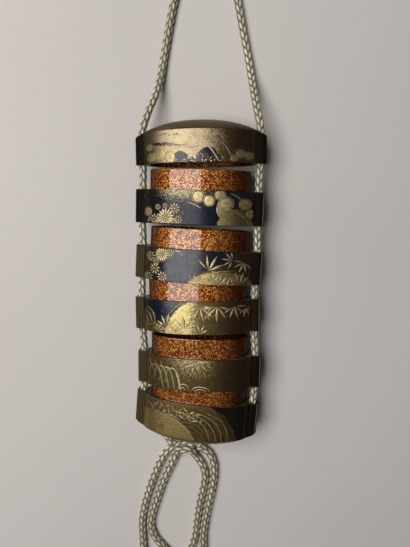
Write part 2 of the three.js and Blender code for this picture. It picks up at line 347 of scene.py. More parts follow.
def braid(name, route, thickness):
    """A round silk braid of that thickness laid along the route, its strands crossing over and under."""
    line = smooth_line(route)
    run = np.concatenate([[0], np.cumsum(np.linalg.norm(np.diff(line, axis=0), axis=1))])
    rings = int(run[-1] / RING_STEP) + 1
    stations = np.linspace(0, run[-1], rings)
    middle = np.stack([np.interp(stations, run, line[:, i]) for i in range(3)], axis=1)
    ahead = np.gradient(middle, axis=0)
    ahead /= np.linalg.norm(ahead, axis=1)[:, None]
    side = np.zeros_like(ahead)
    side[0] = np.cross(ahead[0], (0, 0, 1))
    side[0] /= np.linalg.norm(side[0])
    for i in range(1, rings):
        side[i] = side[i - 1] - ahead[i] * np.dot(side[i - 1], ahead[i])
        side[i] /= np.linalg.norm(side[i])
    other = np.cross(ahead, side)

    sides = BRAID_COLUMNS * SIDES_PER_COLUMN
    around = (np.arange(sides) + 0.5) / sides
    column = np.floor(around * BRAID_COLUMNS)
    across = around * BRAID_COLUMNS - column - 0.5
    lean = np.where(column % 2 == 0, STRAND_LEAN, -STRAND_LEAN)
    turn = stations[:, None] / BRAID_PITCH + 0.5 * (column % 2) + across * lean
    slack = 0.5 + 0.5 * np.sin(TURN_SHIFT * np.floor(turn) + COLUMN_SHIFT * column)
    down = turn - np.floor(turn) - 0.5
    lift = np.sqrt(np.clip(1 - (across / STRAND_HALF_WIDTH) ** 2 - (down / STRAND_HALF_LENGTH) ** 2, 0, 1))
    ends = np.clip(np.minimum(stations, run[-1] - stations) / (thickness * END_ROUNDING), 0.05, 1)
    rounded = np.sqrt(1 - (1 - ends[:, None]) ** 2)
    reach = thickness / 2 * (CORE + (STRAND_RISE + SLACK_RISE * slack) * lift) * rounded
    angle = around * 2 * math.pi
    points = (middle[:, None] + reach[..., None]
              * (np.cos(angle)[:, None] * side[:, None] + np.sin(angle)[:, None] * other[:, None]))
    faces = [(r * sides + s, r * sides + (s + 1) % sides,
              (r + 1) * sides + (s + 1) % sides, (r + 1) * sides + s)
             for r in range(rings - 1) for s in range(sides)]
    faces.append(tuple(reversed(range(sides))))
    faces.append(tuple((rings - 1) * sides + s for s in range(sides)))
    mesh = bpy.data.meshes.new(name)
    mesh.from_pydata(points.reshape(-1, 3).tolist(), [], faces)
    mesh.attributes.new("lift", "FLOAT", "POINT").data.foreach_set("value", lift.ravel())
    thread = np.stack([np.broadcast_to(part, lift.shape) for part in (across, turn, column)], 2)
    mesh.attributes.new("thread", "FLOAT_VECTOR", "POINT").data.foreach_set("vector", thread.ravel())
    mesh.materials.append(silk)
    made = bpy.data.objects.new(name, mesh)
    bpy.context.collection.objects.link(made)
    face_outwards(made)
    bpy.ops.object.shade_smooth()
    path = [tuple(point) for point in middle[::max(1, rings // 300)]] + [tuple(middle[-1])]
    return made, float(run[-1]), path


def channel_mouths(side):
    """The mouths of the channels on that side, from the bottom case's rim up to the lid."""
    sections = [(BOTTOM_LIES, [0.0])]
    sections += [(lies, [-CASE_LOW, 0.0]) for lies in reversed(CASES_LIE)]
    sections += [(LID_LIES, [-LID_SKIRT, LID_MOUTH])]
    mouths = []
    for (x, y, turn), ends in sections:
        turn = math.radians(turn)
        for up in ends:
            mouths.append((x + side * CHANNEL_X * math.cos(turn) - up * math.sin(turn),
                           y + side * CHANNEL_X * math.sin(turn) + up * math.cos(turn), LIE_HEIGHT))
    return mouths


main_route = (BOW_TO_LEFT_CHANNEL + channel_mouths(-1) + TOP_LOOP
              + channel_mouths(1)[::-1] + RIGHT_CHANNEL_TO_BOW)
left_route = [(x, y, BOW_HEIGHT) for x, y in BOW_LEFT]
right_route = [(x, y, BOW_HEIGHT) for x, y in BOW_RIGHT]
main_cord, main_length, main_path = braid("silk_cord", main_route, CORD_THICKNESS)
bow_left, left_length, left_path = braid("silk_bow_left", left_route, BOW_THICKNESS)
bow_right, right_length, right_path = braid("silk_bow_right", right_route, BOW_THICKNESS)

# The knot of the bow: the cord's two ends cross the loops in three short turns, drawn tight.
knot_parts = [braid("turn", route, BOW_THICKNESS)[0] for route in KNOT_TURNS]
only(knot_parts[0])
for part in knot_parts:
    part.select_set(True)
bpy.ops.object.join()
knot = bpy.context.object
knot.name = "silk_knot"

for piece, node in ((main_cord, "cord"), (bow_left, "bow_loop_left"),
                    (bow_right, "bow_loop_right"), (knot, "bow_knot")):
    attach(piece, "root")
    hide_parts(node)

# ---------------------------------------------------------------------------------------------
# The four middle cases. Each is a thin wooden box of flat oval plan, hollow above for its contents
# and below for the riser of the next, with a solid runner down each side that is bored for the
# cord. All of it is coated with lacquer, and the corners are rubbed slightly round.

BODY_HALF_WIDTH, BODY_HALF_DEPTH = 0.0245, 0.012
OVAL_POWER = 2.2
RUNNER_REACH, RUNNER_HALF_DEPTH, RUNNER_CORNER = 0.028, 0.0035, 0.0024
CORNER_POINTS = 8
ARC_POINTS = 56
CHANNEL_RADIUS = 0.0022
RISER_HEIGHT = 0.0085
SOCKET_CEILING = -0.00545
CAVITY_FLOOR = -0.00395
RISER, SOCKET, CAVITY = (0.0218, 0.0105), (0.02215, 0.01085), (0.0205, 0.0092)  # half width, half depth
RUBBED = 0.00032
RUBBED_MIDDLE = 0.3  # a share of RUBBED
BROKEN = 0.0001
FLARE = 0.0003
FLOOR_CORNER = 0.0005
OVERRUN = 0.002
FRONT_STEPS = 4
NEAR = 0.0003
FACES_ALONG, ON_DOME_TOP = 0.93, 0.6  # how squarely a face looks up or down the stack
SHARP_EDGE = 32
MM = 0.001

WORN_BLACK, BROWNED_BLACK = (0.055, 0.034, 0.020, 1), (0.20, 0.125, 0.070, 1)
RED_DARK, RED_BRIGHT = (0.060, 0.007, 0.001, 1), (0.20, 0.030, 0.003, 1)
FLAKE_COPPER, FLAKE_GOLD = (0.40, 0.10, 0.010, 1), (1.0, 0.50, 0.11, 1)
# The last is a painted shade, for the ends of the risers and the lower cases.
RED_PAINTED_SHADE = (0.026, 0.004, 0.001, 1)


def on_oval(angle, half_width, half_depth):
    """The point of a flat oval at that angle: across, and towards the front."""
    c, s = math.cos(angle), math.sin(angle)
    return (half_width * math.copysign(abs(c) ** (2 / OVAL_POWER), c),
            half_depth * math.copysign(abs(s) ** (2 / OVAL_POWER), s))


def outline_with_runners():
    """The outside of a case seen along the stack: the oval with a runner at each end."""
    start = math.asin((RUNNER_HALF_DEPTH / BODY_HALF_DEPTH) ** (OVAL_POWER / 2))
    front = [on_oval(start + (math.pi - 2 * start) * i / ARC_POINTS, BODY_HALF_WIDTH, BODY_HALF_DEPTH)
             for i in range(ARC_POINTS + 1)]
    inner = front[-1][0]
    centre = -(RUNNER_REACH - RUNNER_CORNER)
    thirds = [inner + (centre - inner) * i / 3 for i in (1, 2)]
    left = [(x, RUNNER_HALF_DEPTH) for x in thirds]
    for low, sign in ((math.pi / 2, 1), (math.pi, -1)):
        for i in range(CORNER_POINTS + 1):
            angle = low + (math.pi / 2) * i / CORNER_POINTS
            left.append((centre + RUNNER_CORNER * math.cos(angle),
                         sign * (RUNNER_HALF_DEPTH - RUNNER_CORNER) + RUNNER_CORNER * math.sin(angle)))
    left += [(x, -RUNNER_HALF_DEPTH) for x in reversed(thirds)]
    half = front + left
    return half + [(-x, -z) for x, z in half]


OUTLINE = np.array(outline_with_runners())
OUTLINE_ANGLES = [math.atan2(math.copysign((abs(z) / BODY_HALF_DEPTH) ** (OVAL_POWER / 2), z),
                             math.copysign((abs(x) / BODY_HALF_WIDTH) ** (OVAL_POWER / 2), x))
                  for x, z in OUTLINE]


def outer_ring(up, inward=0.0):
    """A ring of the outside at that height, drawn in a little where an edge is rubbed round."""
    ahead = np.roll(OUTLINE, -1, 0) - np.roll(OUTLINE, 1, 0)
    ahead /= np.linalg.norm(ahead, axis=1)[:, None]
    drawn = OUTLINE + inward * np.stack([-ahead[:, 1], ahead[:, 0]], 1)
    ups = up(OUTLINE) if callable(up) else np.full(len(OUTLINE), up)
    return [(x, u, z) for (x, z), u in zip(drawn, ups)]


def oval_ring(oval, up, wider=0.0, share=1.0):
    """A ring of a plain oval, or of one a little wider or a share of its size."""
    half_width, half_depth = (half * share + wider for half in oval)
    ring = [on_oval(angle, half_width, half_depth) for angle in OUTLINE_ANGLES]
    ups = up(np.array(ring)) if callable(up) else np.full(len(ring), up)
    return [(x, u, z) for (x, z), u in zip(ring, ups)]


def foot_rings(foot):
    """The mouth of a socket and the rubbed edge round it, at the foot of a section."""
    return [oval_ring(SOCKET, foot + FLARE),
            oval_ring(SOCKET, foot, 2 * BROKEN),
            outer_ring(foot, RUBBED),
            outer_ring(foot + RUBBED * RUBBED_MIDDLE, RUBBED * RUBBED_MIDDLE),
            outer_ring(foot + RUBBED)]


def riser_rings():
    """The shoulder of a case, its riser with the lip rubbed round, and the top of its cavity."""
    return [outer_ring(-RUBBED),
            outer_ring(-RUBBED * RUBBED_MIDDLE, RUBBED * RUBBED_MIDDLE),
            outer_ring(0.0, RUBBED),
            oval_ring(RISER, 0.0, BROKEN),
            oval_ring(RISER, 2 * BROKEN),
            oval_ring(RISER, RISER_HEIGHT / 2),
            oval_ring(RISER, RISER_HEIGHT - RUBBED),
            oval_ring(RISER, RISER_HEIGHT - RUBBED * RUBBED_MIDDLE, -BROKEN),
            oval_ring(RISER, RISER_HEIGHT, -RUBBED),
            oval_ring(CAVITY, RISER_HEIGHT, RUBBED),
            oval_ring(CAVITY, RISER_HEIGHT - RUBBED * RUBBED_MIDDLE, BROKEN),
            oval_ring(CAVITY, RISER_HEIGHT - RUBBED)]


def drawn_up(rings):
    """A closed solid drawn up from a circle, ring by ring, and closed at both ends."""
    bpy.ops.object.select_all(action="DESELECT")
    bpy.ops.mesh.primitive_circle_add(vertices=len(OUTLINE), radius=BODY_HALF_WIDTH)
    body = bpy.context.object
    body.data.attributes.new("place", "INT", "POINT").data.foreach_set("value", range(len(OUTLINE)))
    bpy.ops.object.mode_set(mode="EDIT")
    bpy.ops.mesh.select_all(action="SELECT")
    for number, ring in enumerate(rings):
        if number:
            bpy.ops.mesh.extrude_edges_move()
        edited = bmesh.from_edit_mesh(body.data)
        place = edited.verts.layers.int["place"]
        for corner in edited.verts:
            if corner.select:
                corner.co = ring[corner[place]]
        bmesh.update_edit_mesh(body.data)
    bpy.ops.mesh.select_all(action="SELECT")
    bpy.ops.mesh.remove_doubles(threshold=0.000005)
    bpy.ops.mesh.fill_holes(sides=0)
    bpy.ops.mesh.select_all(action="SELECT")
    bpy.ops.mesh.normals_make_consistent(inside=False)
    bpy.ops.object.mode_set(mode="OBJECT")
    body.data.attributes.remove(body.data.attributes["place"])
    return body


def cut_away(body, cutter):
    """Cuts the cutter's shape out of the body, and puts the cutter away."""
    only(body)
    bpy.ops.object.modifier_add(type="BOOLEAN")
    cut = body.modifiers[-1]
    cut.object = cutter
    cut.operation = "DIFFERENCE"
    cut.solver = "EXACT"
    bpy.ops.object.modifier_apply(modifier=cut.name)
    bpy.data.objects.remove(cutter, do_unlink=True)


def bore_channels(body, low, high):
    """Bores the straight cord channel down each runner."""
    for side in (-1, 1):
        bpy.ops.object.select_all(action="DESELECT")
        bpy.ops.mesh.primitive_cylinder_add(vertices=32, radius=CHANNEL_RADIUS, depth=high - low,
                                            location=(side * CHANNEL_X, (low + high) / 2, 0),
                                            rotation=(math.pi / 2, 0, 0))
        cut_away(body, bpy.context.object)


def flatten_back(body):
    """Planes the back of the oval flat where the section lies on the table, and closes the cut."""
    only(body)
    bpy.ops.object.mode_set(mode="EDIT")
    bpy.ops.mesh.select_all(action="SELECT")
    bpy.ops.mesh.bisect(plane_co=(0, 0, -LIE_HEIGHT), plane_no=(0, 0, 1), clear_inner=True)
    bpy.ops.mesh.select_all(action="SELECT")
    bpy.ops.mesh.fill_holes(sides=0)
    bpy.ops.object.mode_set(mode="OBJECT")
    face_outwards(body)


def in_socket(x, z):
    """Whether a place seen along the stack is inside the socket's oval, or just on it."""
    half_width, half_depth = (half + BROKEN for half in SOCKET)
    return (abs(x) / half_width) ** OVAL_POWER + (abs(z) / half_depth) ** OVAL_POWER < 1


def lay_finishes(body, has_riser, foot):
    """Gives each face its finish, and notes where in the whole picture each corner stands.

    The third number noted is the side: 1 in front, -1 behind, and three times that on a dome."""
    mesh = body.data
    for material in (picture_lacquer, sprinkled_gold, worn_black):
        mesh.materials.append(material)
    noted = np.zeros((len(mesh.loops), 3), np.float32)
    for face in mesh.polygons:
        x, y, z = face.center
        facing = face.normal.y
        bored = math.hypot(abs(x) - CHANNEL_X, z) < CHANNEL_RADIUS + BROKEN / 2
        flat_edge = abs(facing) > FACES_ALONG and min(abs(y), abs(y - foot)) < NEAR
        on_dome = (not has_riser and y > 0 and facing > 0.05
                   or y < -CASE_LOW - 0.0005 and facing < -0.05)
        if has_riser and y > 0.00004 or in_socket(x, z) and not on_dome:
            face.material_index = 1
        elif bored or flat_edge:
            face.material_index = 2
        side = 1.0 if z >= 0 else -1.0
        if on_dome and abs(facing) > ON_DOME_TOP:
            side *= 3.0
        for loop in face.loop_indices:
            corner = mesh.vertices[mesh.loops[loop].vertex_index].co
            noted[loop] = (corner.x / MM, corner.y / MM, side)
    mesh.attributes.new("picture", "FLOAT_VECTOR", "CORNER").data.foreach_set("vector", noted.ravel())


def lay_down(piece, node, lies, stack):
    """Lays a finished section where it lies, for its node, and moves its picture up the stack."""
    x, y, turn = lies
    noted = piece.data.attributes["picture"].data
    values = np.zeros(len(noted) * 3, np.float32)
    noted.foreach_get("vector", values)
    values[1::3] += stack / MM
    noted.foreach_set("vector", values)
    only(piece)
    piece.name = "lacquer_" + node
    piece.location = (x, y, LIE_HEIGHT)
    piece.rotation_euler = (0, 0, math.radians(turn))
    bpy.ops.object.transform_apply(location=True, rotation=True, scale=True)
    bpy.ops.object.shade_smooth_by_angle(angle=math.radians(SHARP_EDGE))
    bpy.ops.object.modifier_add(type="WEIGHTED_NORMAL")
    piece.modifiers[-1].keep_sharp = True
    bpy.ops.object.modifier_apply(modifier=piece.modifiers[-1].name)
    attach(piece, "root")
    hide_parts(node)


# Bare rims and bores: black lacquer that has worn brown.
worn_black, shader, place = finish("black_lacquer", {"Coat Weight": 0.2, "Coat Roughness": 0.3,
                                                     "Specular IOR Level": 0.3})
worn = place.cloud(260.0, 4.0)
give(shader,
     Base_Color=worn.rise(0.4, 0.7).blend(WORN_BLACK, BROWNED_BLACK),
     Roughness=worn * 0.25 + 0.35)

# Risers and insides: gold flakes sprinkled in red lacquer and polished, darkened as painted shade
# towards both ends and on the lower cases.
sprinkled_gold, shader, place = finish("sprinkled_gold_on_red",
                                       {"Coat Roughness": 0.06, "Specular IOR Level": 0.03})
flake, flake_tone, red_tone = place.grains(2700.0)
flake = flake.rise(0.55, 0.66)
across, stack, _ = own(place, "picture", "Vector").xyz()
# Painted shade: both ends and the lower cases are darkened towards the shaded red.
ends = across.rise(3.0, 19.0).most((-across).rise(12.5, 22.0))
lower = (1.0 - stack.rise(-40.0, -24.0)) * 0.3
red = red_tone.blend(RED_DARK, RED_BRIGHT)
flakes = flake_tone.blend(FLAKE_COPPER, FLAKE_GOLD)
give(shader,
     Base_Color=(ends * 0.94).most(lower).blend(flake.blend(red, flakes), RED_PAINTED_SHADE),
     Metallic=flake * 0.3,
     Roughness=0.5 - flake * 0.1,
     Coat_Weight=1.0 - ends * 0.85)

# The outside carries one picture that runs over all the sections of the closed case. Its places
# are millimetres: across from the middle, and up the stack from the foot of the lid.
NIGHT, NIGHT_CLOUDY = (0.005, 0.007, 0.014, 1), (0.009, 0.013, 0.026, 1)
# The bluer black is a painted reflection across the middle of the front.
NIGHT_PAINTED_REFLECTION, NIGHT_PAINTED_REFLECTION_CLOUDY = (0.010, 0.015, 0.030, 1), (0.017, 0.024, 0.045, 1)
NIGHT_LOW = (0.008, 0.006, 0.004, 1)
BROWN_DARK, BROWN_PALE = (0.085, 0.053, 0.017, 1), (0.21, 0.145, 0.058, 1)
BROWN_PAINTED_SHADE, BROWN_FOURTH = (0.030, 0.015, 0.004, 1), (0.02, 0.014, 0.006, 1)
GOLD_DARK, GOLD_PALE = (0.42, 0.33, 0.13, 1), (0.68, 0.57, 0.28, 1)
TOP_GOLD_DARK, TOP_GOLD_PALE = (0.30, 0.23, 0.13, 1), (0.50, 0.41, 0.25, 1)
HILL_GOLD_DARK, HILL_GOLD_PALE = (0.50, 0.40, 0.13, 1), (0.86, 0.74, 0.34, 1)
LOW_GOLD_DARK, LOW_GOLD_PALE = (0.25, 0.18, 0.055, 1), (0.38, 0.29, 0.11, 1)
GOLD_PAINTED_SHADE, LEFT_PAINTED_SHADE = (0.090, 0.058, 0.014, 1), (0.016, 0.010, 0.004, 1)
BARE_LINE, FOAM, SPECK = (0.02, 0.015, 0.01, 1), (0.80, 0.76, 0.58, 1), (0.50, 0.46, 0.34, 1)
WORN_BROWN, PAINTED_HIGHLIGHT_PALE = (0.045, 0.025, 0.012, 1), (0.30, 0.26, 0.18, 1)
RUNNER_BLACK, RUNNER_BROWN = (0.009, 0.006, 0.004, 1), (0.021, 0.010, 0.003, 1)
OLIVE_DARK, OLIVE_PALE = (0.018, 0.012, 0.005, 1), (0.10, 0.075, 0.034, 1)
CASE_FEET = [0.0, -14.3, -28.6, -42.9, -57.2]  # the foot of the lid and of each middle case
SEAM = 0.05
LID_EDGE = 13.2

picture_lacquer, shader, place = finish("picture_lacquer", {"Coat Roughness": 0.19,
                                                            "Specular IOR Level": 0.03})
x, stack, side = own(place, "picture", "Vector").xyz()
wander = place.cloud(380.0, 5.0, 0.62) - 0.5
drawn_x = x + wander * 2.4
drawn_y = stack + wander * 1.6
powder = place.grains(5200.0)[0]
patch = place.cloud(520.0, 3.0)

front = side.rise(-0.1, 0.1)
on_domes = abs(side).rise(1.9, 2.1)
above_feet = [stack.rise(foot - SEAM, foot + SEAM) for foot in CASE_FEET]
on_lid = above_feet[0]
on_first, on_second, on_third, on_fourth = (
    lower * (1.0 - upper) for upper, lower in zip(above_feet, above_feet[1:]))
on_bottom = 1.0 - above_feet[-1]


def oval_area(cx, cy, half_width, half_height, soft):
    """1 inside a soft oval of the picture with a hand-drawn edge, and 0 outside."""
    reach = (((drawn_x - cx) / half_width) ** 2.0 + ((drawn_y - cy) / half_height) ** 2.0) ** 0.5
    return 1.0 - reach.rise(1.0 - soft, 1.0 + soft)


def all_of(*areas):
    """The strongest of several areas at each place: each is an oval and how thickly it is laid."""
    total = None
    for *oval, thickness in areas:
        laid = oval_area(*oval) * thickness
        total = laid if total is None else total.most(laid)
    return total


# Ovals are given as middle across, middle up the stack, half width, half height, softness, share.
# Bright gold laid thickly: the lid's sky, mist and rock, a hill, and the bright mound.
thick_front = (
    on_lid * (1.0 - stack.rise(LID_EDGE - SEAM, LID_EDGE + SEAM)) * all_of(
        (-9.0, 8.0, 19.0, 9.6, 0.3, 0.97), (18.0, 2.4, 5.6, 3.4, 0.3, 0.8))
    + on_first * all_of((-6.0, 0.2, 9.0, 3.6, 0.8, 0.66), (16.0, -14.6, 7.4, 7.2, 0.04, 0.98),
                        (11.0, -7.6, 2.6, 4.6, 0.05, 0.98))
    + on_second * all_of((11.0, -32.4, 15.0, 9.6, 0.05, 0.96))
    + on_third * all_of((4.0, -46.0, 17.5, 18.6, 0.04, 0.98))
    + on_fourth * all_of((-1.0, -44.0, 8.0, 5.6, 0.8, 0.40))
    + on_bottom * all_of((-17.5, -78.5, 19.5, 15.6, 0.04, 0.97)))
# Brown gold laid thinly: the shaded end of the lid, rocks by the runners, the plain, the water.
thin_front = (
    on_lid * all_of((0.0, 6.0, 40.0, 30.0, 0.1, 0.85))
    + on_first * all_of((22.0, -3.0, 6.0, 4.0, 0.5, 0.4))
    + on_second * all_of((-24.0, -21.5, 7.0, 10.0, 0.35, 0.55), (22.5, -21.0, 8.5, 10.5, 0.2, 0.85),
                         (14.0, -32.0, 16.0, 12.4, 0.1, 0.8))
    + on_third * all_of((14.0, -40.0, 19.0, 19.0, 0.08, 0.93), (-20.0, -45.2, 11.0, 7.4, 0.06, 0.95),
                        (-21.5, -37.5, 3.4, 5.4, 0.4, 0.6))
    + on_fourth * all_of((0.0, -50.0, 50.0, 30.0, 0.08, 0.95))
    + on_bottom * all_of((-3.0, -76.0, 22.0, 21.0, 0.02, 0.97), (-17.0, -59.0, 9.0, 5.0, 0.1, 0.95)))
# Left bare: the hollow and the streaks of cloud on the lid.
bare_front = on_lid * front * all_of(
    (-7.2, 1.2, 3.2, 3.4, 0.08, 1.0), (4.2, 1.0, 4.8, 4.9, 0.06, 1.0),
    (-1.0, 0.0, 7.5, 2.0, 0.15, 0.9), (-15.5, 7.6, 5.6, 0.62, 0.35, 0.85),
    (-9.6, 6.9, 4.4, 0.42, 0.4, 0.7), (-12.0, 11.2, 5.0, 0.4, 0.5, 0.4))
# The back is plainer, with a few soft drifts of both.
thick_back = all_of((0.0, 17.0, 30.0, 7.0, 0.5, 0.6), (-12.0, -8.0, 12.0, 3.2, 0.8, 0.5),
                    (13.0, -29.0, 13.0, 3.0, 0.8, 0.45), (8.0, -80.0, 26.0, 20.0, 0.06, 0.7))
thin_back = all_of((-16.0, -70.0, 20.0, 22.0, 0.1, 0.7), (14.0, -52.0, 16.0, 4.0, 0.8, 0.4))

# The plain beyond the hill and the right end of the lid keep little thick gold, the domes carry
# plain brown gold alone, and the runners none.
plain = x.rise(-4.5, 2.5) * on_third * front
lid_end = x.rise(2.0, 15.0) * on_lid * front
runner = abs(x).rise(23.75, 23.95)
painted = (1.0 - runner) * (1.0 - on_domes)
thick = (front * thick_front + (1.0 - front) * thick_back) * (1.0 - bare_front)
thick = thick * painted * (1.0 - plain) * (1.0 - lid_end * 0.75)
thin = (front * thin_front + (1.0 - front) * thin_back) * (1.0 - bare_front)
thin = thin.most(on_domes * 0.88) * (1.0 - runner)
laid_thick = (powder - 1.0 + thick).rise(-0.02, 0.06)
laid_thin = (powder - 1.0 + thin).rise(-0.02, 0.10)

# Left out of the gold: freckles on the hill and the mound, and the lines of the running water.
freckles = oval_area(-5.0, -34.0, 6.5, 4.0, 0.3).most(oval_area(-12.0, -67.5, 9.0, 3.6, 0.4))
freckles = (1.0 - place.from_grain(620.0).rise(0.15, 0.2)) * freckles * front * (1.0 - on_domes)
from_spring = ((drawn_x + 3.0) ** 2.0 + (drawn_y + 76.0) ** 2.0) ** 0.5
water_lines = (from_spring * 3.4).wave().rise(0.675, 0.975)
water_lines = (water_lines * laid_thin * (1.0 - laid_thick) * front * (1.0 - on_domes)
               * x.rise(-8.0, -5.0) * (1.0 - stack.rise(-60.5, -58.0)))
# Scattered on the ground: pale foam over the lid's water, and single specks on the left.
foam = (1.0 - place.from_grain(1150.0).rise(0.24, 0.34)) * oval_area(0.0, 1.2, 10.0, 2.1, 0.4)
foam = foam * on_lid * front
specks = place.grains(800.0)[1].rise(0.72, 0.76) * (1.0 - place.from_grain(800.0).rise(0.10, 0.18))
specks = specks * (1.0 - x.rise(-10.0, 2.0)) * (1.0 - laid_thick) * painted
# Painted shade: the right side is darkened, the left end more so. The ground is worn brown in spots.
painted_shade_right = x.rise(3.0, 19.0)
painted_shade_left_end = (-x).rise(13.0, 22.5)
worn = place.cloud(210.0, 4.0).rise(0.58, 0.75)

# Painted reflection: the black ground is bluer across the middle of the front, below the lid.
painted_reflection_middle = x.rise(-17.0, -8.0) * (1.0 - x.rise(-2.0, 6.0)) * (1.0 - on_lid) * front
night = (painted_reflection_middle * 0.8).blend(patch.blend(NIGHT, NIGHT_CLOUDY),
                                   patch.blend(NIGHT_PAINTED_REFLECTION, NIGHT_PAINTED_REFLECTION_CLOUDY))
night = on_bottom.blend(night, NIGHT_LOW)
# Painted shade darkens the brown and the gold on the right side.
brown = (painted_shade_right * (0.78 - on_bottom * 0.45)).blend(patch.blend(BROWN_DARK, BROWN_PALE), BROWN_PAINTED_SHADE)
brown = (on_fourth * 0.3).blend(brown, BROWN_FOURTH)
gold = stack.rise(-6.0, -3.0).blend(patch.blend(GOLD_DARK, GOLD_PALE),
                                    patch.blend(TOP_GOLD_DARK, TOP_GOLD_PALE))
gold = on_third.blend(gold, patch.blend(HILL_GOLD_DARK, HILL_GOLD_PALE))
gold = on_bottom.blend(gold, patch.blend(LOW_GOLD_DARK, LOW_GOLD_PALE))
gold = (painted_shade_right * 0.8).blend(gold, GOLD_PAINTED_SHADE)

ground = laid_thick.blend(laid_thin.blend(night, brown), gold)
# Painted shade darkens the left end.
ground = (painted_shade_left_end * (stack.rise(-45.0, 0.0) * 0.70 + 0.15)).blend(ground, LEFT_PAINTED_SHADE)
ground = (freckles * 0.9).most(water_lines * 0.75).blend(ground, BARE_LINE)
ground = foam.blend(ground, FOAM)
ground = (specks * (1.0 - laid_thin) * 0.8).blend(ground, SPECK)
ground = (worn * 0.35).blend(ground, WORN_BROWN)
# The runners are plain: black, or brown beside the third case, with a painted highlight as a pale
# line along the outer edge of the right ones, and olive with fine ridges painted in light and shade
# down the left ones below the first case.
ground = runner.blend(ground, on_third.blend(RUNNER_BLACK, RUNNER_BROWN))
# Painted highlight: a pale line along the outer edge of the right runners, below the lid.
painted_highlight_edge = x.rise(27.0, 27.2) * (1.0 - x.rise(27.45, 27.6)) * (1.0 - on_lid)
ground = (painted_highlight_edge * 0.7).blend(ground, PAINTED_HIGHLIGHT_PALE)
olive = runner * (-x).rise(20.0, 22.0) * (1.0 - stack.rise(-15.0, -14.0))
# Painted light and shade: fine ridges drawn as dark and pale stripes across the olive.
ground = olive.blend(ground, (x * 9.0).wave().blend(OLIVE_DARK, OLIVE_PALE))

metal = laid_thick.most(laid_thin * 0.75) * (1.0 - freckles)
polish = (1.0 - metal * 1.2 - on_first * 0.55).most(0.0) * (0.45 + patch * 0.6)
polish = polish * (1.0 - runner) * (1.0 - painted_shade_left_end * 0.85) * (1.0 - x.rise(18.0, 22.0) * 0.8)
give(shader,
     Base_Color=ground,
     Metallic=metal * 0.85,
     Roughness=0.30 + metal * 0.14 + patch * 0.06 + runner * 0.2,
     Coat_Weight=polish,
     Normal=(powder * metal).bump(0.00002, 0.5))

case = drawn_up((
    [oval_ring(SOCKET, SOCKET_CEILING, share=share) for share in (0.3, 0.7, 1.0)]
    + foot_rings(-CASE_LOW)
    + [outer_ring(-CASE_LOW + RUBBED + (CASE_LOW - 2 * RUBBED) * i / FRONT_STEPS)
       for i in range(1, FRONT_STEPS)]
    + riser_rings()
    + [oval_ring(CAVITY, CAVITY_FLOOR + FLOOR_CORNER), oval_ring(CAVITY, CAVITY_FLOOR, -FLOOR_CORNER)]
    + [oval_ring(CAVITY, CAVITY_FLOOR, share=share) for share in (0.6, 0.25)]))
bore_channels(case, -CASE_LOW - OVERRUN, OVERRUN)
flatten_back(case)
lay_finishes(case, True, -CASE_LOW)

for number, lies in enumerate(CASES_LIE, 1):
    only(case)
    bpy.ops.object.duplicate()
    lay_down(bpy.context.object, f"case_{number}", lies, -CASE_LOW * (number - 1))
bpy.data.objects.remove(case, do_unlink=True)

# ---------------------------------------------------------------------------------------------
# The lid. It has no riser: its skirt is hollow to take the riser of the first case, and its top
# is a low dome, thicker at the crown. The channels run on straight through the dome's edge.

DOME_CROWN, DOME_DROP, DOME_POWER = 0.0069, 0.0049, 2.56
DOME_SHARES = (0.985, 0.95, 0.9, 0.83, 0.75, 0.65, 0.53, 0.4, 0.25, 0.1)
DOME_BORE_END = 0.012
ROOF = 0.0018


def dome_height(points, crown):
    """The height of a low dome over each point, for that height at its crown."""
    across = np.hypot(points[:, 0] / BODY_HALF_WIDTH, points[:, 1] / BODY_HALF_DEPTH)
    return crown - DOME_DROP * across ** DOME_POWER


def lid_top(points):
    return dome_height(points, DOME_CROWN)


def lid_ceiling(points):
    return dome_height(points, DOME_CROWN - ROOF)


def dome_rings(shares, sign=1.0, base=0.0):
    """Rings of the outside drawn in over the dome, up or down the stack from base."""
    rings = []
    for share in shares:
        drawn = OUTLINE * share
        rings.append([(x, base + sign * up, z) for (x, z), up in zip(drawn, lid_top(drawn))])
    return rings


lid = drawn_up((
    [oval_ring(SOCKET, lid_ceiling, share=share) for share in (0.1, 0.3, 0.5, 0.7, 0.85, 1.0)]
    + foot_rings(-LID_SKIRT)
    + [outer_ring(up) for up in (-0.008, -0.004, -0.001)]
    + [outer_ring(lambda points: lid_top(points) - RUBBED),
       outer_ring(lambda points: lid_top(points) - RUBBED * RUBBED_MIDDLE, RUBBED * RUBBED_MIDDLE)]
    + dome_rings(DOME_SHARES)))
bore_channels(lid, -LID_SKIRT - OVERRUN, DOME_BORE_END)
flatten_back(lid)
lay_finishes(lid, False, -LID_SKIRT)
lay_down(lid, "lid", LID_LIES, LID_SKIRT)

# ---------------------------------------------------------------------------------------------
# The bottom case. It has a riser like the others, and ends below in the same low dome as the
# lid, over a rounded hollow. Its channels curve back near the foot and open behind the dome.

CHANNEL_BEND = [(0.0252, -0.004, 0.0), (0.0252, -0.0086, 0.0), (0.0251, -0.0116, -0.0011),
                (0.0247, -0.0146, -0.0034), (0.0221, -0.0198, -0.0062), (0.019, -0.0223, -0.0079)]
CHANNEL_BEND_START = -0.0086
CHANNEL_BEND_RADIUS = 0.0026


def underside(points):
    return -CASE_LOW - lid_top(points)


def cavity_floor(points):
    return -CASE_LOW - lid_ceiling(points)


def rod(points, radius, roundness, radii=None):
    """A closed round rod along the points. Its radius there is a share of the whole, if radii say so."""
    curve = bpy.data.curves.new("rod", "CURVE")
    curve.dimensions = "3D"
    curve.bevel_depth = radius
    curve.bevel_resolution = roundness
    curve.use_fill_caps = True
    spline = curve.splines.new("POLY")
    spline.points.add(len(points) - 1)
    for number, place in enumerate(points):
        spline.points[number].co = (*place, 1)
        spline.points[number].radius = radii[number] if radii else 1.0
    made = bpy.data.objects.new("rod", curve)
    bpy.context.collection.objects.link(made)
    only(made)
    bpy.ops.object.convert(target="MESH")
    return bpy.context.object


